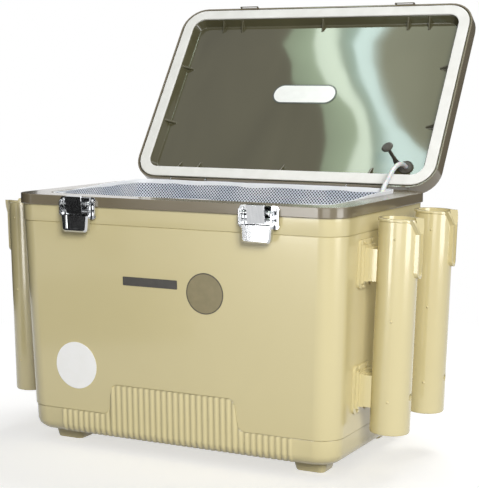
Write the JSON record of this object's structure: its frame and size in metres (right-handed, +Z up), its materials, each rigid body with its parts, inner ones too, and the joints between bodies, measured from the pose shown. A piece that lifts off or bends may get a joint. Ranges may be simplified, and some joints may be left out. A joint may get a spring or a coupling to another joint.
{
  "type": "live-bait cooler box",
  "caption": "Insulated bait box standing open, with net liner, hinged lid, airline, air pump, draw latches and slotted rod holders on both sides.",
  "frame": {"origin": "on the floor under the middle of the box that the open cooler fills", "axes": "+Z up, -Y towards the front with the latches, +X to the right seen from the front"},
  "size_m": [0.6416, 0.5491, 0.633],
  "materials": {
    "tan_shell": "gloss",
    "tan_holder": "gloss",
    "insulating_foam": "matte",
    "white_liner": "gloss",
    "taupe_trim": "satin",
    "lid_inner": "gloss",
    "white_gasket": "matte",
    "white_net": "matte",
    "white_label": "satin",
    "stainless": "polished",
    "steel_pins": "satin",
    "hinge_plastic": "satin",
    "dark_rubber": "matte",
    "clear_hose": "satin",
    "air_stone": "matte",
    "pump_white": "satin",
    "pump_dark": "matte",
    "pump_switch": "satin",
    "pump_motor": "satin",
    "cell_jacket": "satin"
  },
  "bodies": {
    "tub": {"tub_shell": "tan_shell", "tub_foam": "insulating_foam", "tub_liner": "white_liner", "rim_trim": "taupe_trim", "foot_front_left": "tan_shell", "foot_front_right": "tan_shell", "foot_rear_left": "tan_shell", "foot_rear_right": "tan_shell", "net_bag": "white_net", "net_hem": "white_net", "front_labels": "white_label", "rod_holder_front_left": "tan_holder", "rod_holder_front_right": "tan_holder", "rod_holder_rear_left": "tan_holder", "rod_holder_rear_right": "tan_holder", "bracket_front_left_upper": "tan_holder", "bracket_front_left_lower": "tan_holder", "bracket_front_right_upper": "tan_holder", "bracket_front_right_lower": "tan_holder", "bracket_rear_left_upper": "tan_holder", "bracket_rear_left_lower": "tan_holder", "bracket_rear_right_upper": "tan_holder", "bracket_rear_right_lower": "tan_holder", "bracket_screws": "tan_holder", "latch_base_left": "stainless", "latch_base_right": "stainless", "latch_pivot_pins": "steel_pins", "latch_screws": "steel_pins", "hinge_tub_leaf_left": "hinge_plastic", "hinge_tub_leaf_right": "hinge_plastic", "hinge_pins": "steel_pins", "hinge_tub_screws": "steel_pins", "air_stone": "air_stone", "pump_case": "pump_white", "pump_bracket": "pump_dark", "pump_motor": "pump_motor", "pump_cells": "cell_jacket"},
    "lid": {"lid_shell": "taupe_trim", "lid_foam": "insulating_foam", "lid_panel": "lid_inner", "lid_gasket": "white_gasket", "lid_label": "white_label", "strike_left": "hinge_plastic", "strike_right": "hinge_plastic", "strike_screws": "steel_pins", "port_grommet": "dark_rubber", "port_plug": "dark_rubber", "hinge_lid_leaf_left": "hinge_plastic", "hinge_lid_leaf_right": "hinge_plastic", "hinge_lid_screws": "steel_pins", "airline_inner": "clear_hose", "airline_outer": "clear_hose"},
    "lever_left": {"latch_lever_left": "stainless"},
    "lever_right": {"latch_lever_right": "stainless"},
    "pin_left": {"claw_pin_left": "steel_pins"},
    "pin_right": {"claw_pin_right": "steel_pins"},
    "claw_left": {"latch_claw_left": "stainless"},
    "claw_right": {"latch_claw_right": "stainless"},
    "switch": {"pump_switch": "pump_switch"}
  },
  "joints": [
    {"name": "lid_hinge", "type": "hinge", "parent": "tub", "child": "lid", "pos_m": [0, 0.06804, 0.3545], "axis": [1, 0, 0], "range_deg": [0, 124.2], "deforming": ["airline_inner", "airline_outer"]},
    {"name": "lever_left_pivot", "type": "hinge", "parent": "tub", "child": "lever_left", "pos_m": [-0.137, -0.26756, 0.342], "axis": [-1, 0, 0], "range_deg": [0, 100]},
    {"name": "claw_pin_left_turn", "type": "hinge", "parent": "lever_left", "child": "pin_left", "pos_m": [-0.137, -0.26756, 0.3325], "axis": [-1, 0, 0], "range_deg": [-100, 0]},
    {"name": "claw_left_swing", "type": "hinge", "parent": "pin_left", "child": "claw_left", "pos_m": [-0.137, -0.26756, 0.3325], "axis": [1, 0, 0], "range_deg": [-9, 10]},
    {"name": "lever_right_pivot", "type": "hinge", "parent": "tub", "child": "lever_right", "pos_m": [0.137, -0.26756, 0.342], "axis": [-1, 0, 0], "range_deg": [0, 100]},
    {"name": "claw_pin_right_turn", "type": "hinge", "parent": "lever_right", "child": "pin_right", "pos_m": [0.137, -0.26756, 0.3325], "axis": [-1, 0, 0], "range_deg": [-100, 0]},
    {"name": "claw_right_swing", "type": "hinge", "parent": "pin_right", "child": "claw_right", "pos_m": [0.137, -0.26756, 0.3325], "axis": [1, 0, 0], "range_deg": [-9, 10]},
    {"name": "pump_switch_slide", "type": "slide", "parent": "tub", "child": "switch", "axis": [0, 0, 1], "range_m": [0, 0.008]}
  ],
  "couplings": [
    {"joint": "claw_pin_left_turn", "follows": "lever_left_pivot", "ratio": -1},
    {"joint": "claw_pin_right_turn", "follows": "lever_right_pivot", "ratio": -1}
  ]
}
